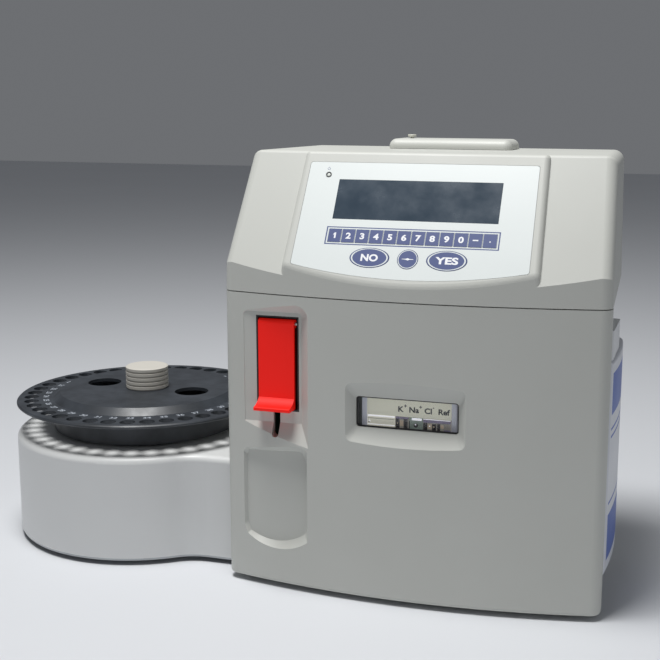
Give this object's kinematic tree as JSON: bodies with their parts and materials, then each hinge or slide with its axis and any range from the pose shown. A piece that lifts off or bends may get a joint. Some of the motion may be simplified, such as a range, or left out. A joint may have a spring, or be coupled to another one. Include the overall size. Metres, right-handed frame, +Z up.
{
  "type": "electrolyte analyzer",
  "caption": "Bench-top electrolyte analyzer: bowed grey casing with keypad and display on a sloped hood, red sampling flap, window on the electrodes and a rotating sample tray at the side.",
  "frame": {"origin": "middle of the bounding box on the bench surface", "axes": "+X to the right along the front, +Y from the front to the rear wall, +Z up"},
  "size_m": [0.5412, 0.238, 0.3555],
  "materials": {
    "foot_rubber": "matte",
    "sheet_metal": "satin",
    "casing_grey_sheet": "fine texture paint",
    "casing_grey": "fine texture",
    "overlay_white": "satin film",
    "circuit_green": "solder resist",
    "display_dark": "glossy",
    "board_dark": "matte",
    "lamp_green": "clear tinted",
    "black_plastic": "fine texture",
    "paper_white": "smooth paper",
    "roller_rubber": "matte",
    "steel": "polished",
    "flap_red": "glossy",
    "clear_plastic": "clear",
    "rack_white": "satin",
    "clear_cell": "clear",
    "dark_metal": "satin",
    "tube_rubber": "translucent",
    "pack_white": "satin",
    "sampler_white": "satin",
    "tray_dark": "semi-gloss",
    "knob_ivory": "satin",
    "gear_white": "satin",
    "brass": "turned",
    "key_blue": "satin"
  },
  "bodies": {
    "analyzer": {"rubber_feet": "foot_rubber", "base_plate": "sheet_metal", "left_panel": "casing_grey_sheet", "right_panel": "casing_grey_sheet", "rear_panel": "casing_grey_sheet", "front_casing": "casing_grey", "top_cover": "casing_grey", "panel_overlay": "overlay_white", "keypad_circuit": "circuit_green", "display_window": "display_dark", "display_module": "board_dark", "power_led": "lamp_green", "printer_mechanism": "black_plastic", "flap_housing": "black_plastic", "flap_pin": "steel", "window_pane": "clear_plastic", "electrode_rack": "rack_white", "label_plate": "rack_white", "sample_detector": "clear_cell", "electrode_potassium": "clear_cell", "electrode_sodium": "clear_cell", "electrode_chloride": "clear_cell", "electrode_reference": "clear_cell", "pump_motor": "dark_metal", "pump_tube": "tube_rubber", "main_board": "circuit_green", "power_supply": "sheet_metal", "power_inlet": "black_plastic", "sampler_housing": "sampler_white", "sampler_base": "sheet_metal", "tray_motor": "dark_metal"},
    "key_1_cap": {"key_1": "key_blue"},
    "key_2_cap": {"key_2": "key_blue"},
    "key_3_cap": {"key_3": "key_blue"},
    "key_4_cap": {"key_4": "key_blue"},
    "key_5_cap": {"key_5": "key_blue"},
    "key_6_cap": {"key_6": "key_blue"},
    "key_7_cap": {"key_7": "key_blue"},
    "key_8_cap": {"key_8": "key_blue"},
    "key_9_cap": {"key_9": "key_blue"},
    "key_0_cap": {"key_0": "key_blue"},
    "key_minus_cap": {"key_minus": "key_blue"},
    "key_point_cap": {"key_point": "key_blue"},
    "no_key_cap": {"no_key": "key_blue"},
    "yes_key_cap": {"yes_key": "key_blue"},
    "round_key_cap": {"round_key": "key_blue"},
    "flap": {"sample_flap": "flap_red", "sample_probe": "steel"},
    "cover": {"printer_cover": "casing_grey", "cover_knob": "black_plastic"},
    "roll": {"paper_roll": "paper_white"},
    "platen": {"platen_roller": "roller_rubber"},
    "rotor": {"pump_rotor": "rack_white"},
    "reagents": {"reagent_pack": "pack_white", "pack_fittings": "pack_white"},
    "rocker": {"power_switch": "black_plastic"},
    "tray": {"sample_tray": "tray_dark", "tray_knob": "knob_ivory", "tray_spindle": "gear_white"},
    "pinion": {"motor_pinion": "brass"}
  },
  "joints": [
    {"name": "key_1_press", "type": "slide", "parent": "analyzer", "child": "key_1_cap", "axis": [0, 0.848, -0.5299], "range_m": [0, 0.0004], "stiffness_N_per_m": 1500},
    {"name": "key_2_press", "type": "slide", "parent": "analyzer", "child": "key_2_cap", "axis": [0, 0.848, -0.5299], "range_m": [0, 0.0004], "stiffness_N_per_m": 1500},
    {"name": "key_3_press", "type": "slide", "parent": "analyzer", "child": "key_3_cap", "axis": [0, 0.848, -0.5299], "range_m": [0, 0.0004], "stiffness_N_per_m": 1500},
    {"name": "key_4_press", "type": "slide", "parent": "analyzer", "child": "key_4_cap", "axis": [0, 0.848, -0.5299], "range_m": [0, 0.0004], "stiffness_N_per_m": 1500},
    {"name": "key_5_press", "type": "slide", "parent": "analyzer", "child": "key_5_cap", "axis": [0, 0.848, -0.5299], "range_m": [0, 0.0004], "stiffness_N_per_m": 1500},
    {"name": "key_6_press", "type": "slide", "parent": "analyzer", "child": "key_6_cap", "axis": [0, 0.848, -0.5299], "range_m": [0, 0.0004], "stiffness_N_per_m": 1500},
    {"name": "key_7_press", "type": "slide", "parent": "analyzer", "child": "key_7_cap", "axis": [0, 0.848, -0.5299], "range_m": [0, 0.0004], "stiffness_N_per_m": 1500},
    {"name": "key_8_press", "type": "slide", "parent": "analyzer", "child": "key_8_cap", "axis": [0, 0.848, -0.5299], "range_m": [0, 0.0004], "stiffness_N_per_m": 1500},
    {"name": "key_9_press", "type": "slide", "parent": "analyzer", "child": "key_9_cap", "axis": [0, 0.848, -0.5299], "range_m": [0, 0.0004], "stiffness_N_per_m": 1500},
    {"name": "key_0_press", "type": "slide", "parent": "analyzer", "child": "key_0_cap", "axis": [0, 0.848, -0.5299], "range_m": [0, 0.0004], "stiffness_N_per_m": 1500},
    {"name": "key_minus_press", "type": "slide", "parent": "analyzer", "child": "key_minus_cap", "axis": [0, 0.848, -0.5299], "range_m": [0, 0.0004], "stiffness_N_per_m": 1500},
    {"name": "key_point_press", "type": "slide", "parent": "analyzer", "child": "key_point_cap", "axis": [0, 0.848, -0.5299], "range_m": [0, 0.0004], "stiffness_N_per_m": 1500},
    {"name": "no_key_press", "type": "slide", "parent": "analyzer", "child": "no_key_cap", "axis": [0, 0.848, -0.5299], "range_m": [0, 0.0004], "stiffness_N_per_m": 1500},
    {"name": "yes_key_press", "type": "slide", "parent": "analyzer", "child": "yes_key_cap", "axis": [0, 0.848, -0.5299], "range_m": [0, 0.0004], "stiffness_N_per_m": 1500},
    {"name": "round_key_press", "type": "slide", "parent": "analyzer", "child": "round_key_cap", "axis": [0, 0.848, -0.5299], "range_m": [0, 0.0004], "stiffness_N_per_m": 1500},
    {"name": "flap_lift", "type": "hinge", "parent": "analyzer", "child": "flap", "pos_m": [0.0134, -0.103, 0.21355], "axis": [-1, 0, 0], "range_deg": [0, 60]},
    {"name": "cover_lift", "type": "hinge", "parent": "analyzer", "child": "cover", "pos_m": [0.1184, 0.0705, 0.348], "axis": [-1, 0, 0], "range_deg": [0, 100]},
    {"name": "roll_spin", "type": "hinge", "parent": "analyzer", "child": "roll", "pos_m": [0.1184, 0.045, 0.325], "axis": [1, 0, 0], "continuous": true},
    {"name": "platen_spin", "type": "hinge", "parent": "analyzer", "child": "platen", "pos_m": [0.1184, 0.021, 0.332], "axis": [1, 0, 0], "continuous": true},
    {"name": "rotor_spin", "type": "hinge", "parent": "analyzer", "child": "rotor", "pos_m": [0.1964, -0.094, 0.078], "axis": [0, 1, 0], "continuous": true},
    {"name": "pack_slide", "type": "slide", "parent": "analyzer", "child": "reagents", "axis": [1, 0, 0], "range_m": [0, 0.04]},
    {"name": "rocker_tilt", "type": "hinge", "parent": "analyzer", "child": "rocker", "pos_m": [0.2234, 0.081, 0.04], "axis": [1, 0, 0], "range_deg": [-10, 10]},
    {"name": "tray_spin", "type": "hinge", "parent": "analyzer", "child": "tray", "pos_m": [-0.1556, 0.004, 0.06], "axis": [0, 0, 1], "continuous": true},
    {"name": "pinion_spin", "type": "hinge", "parent": "analyzer", "child": "pinion", "pos_m": [-0.10525, 0.004, 0.06], "axis": [0, 0, 1], "continuous": true}
  ],
  "couplings": [
    {"joint": "pinion_spin", "follows": "tray_spin", "ratio": -4}
  ]
}
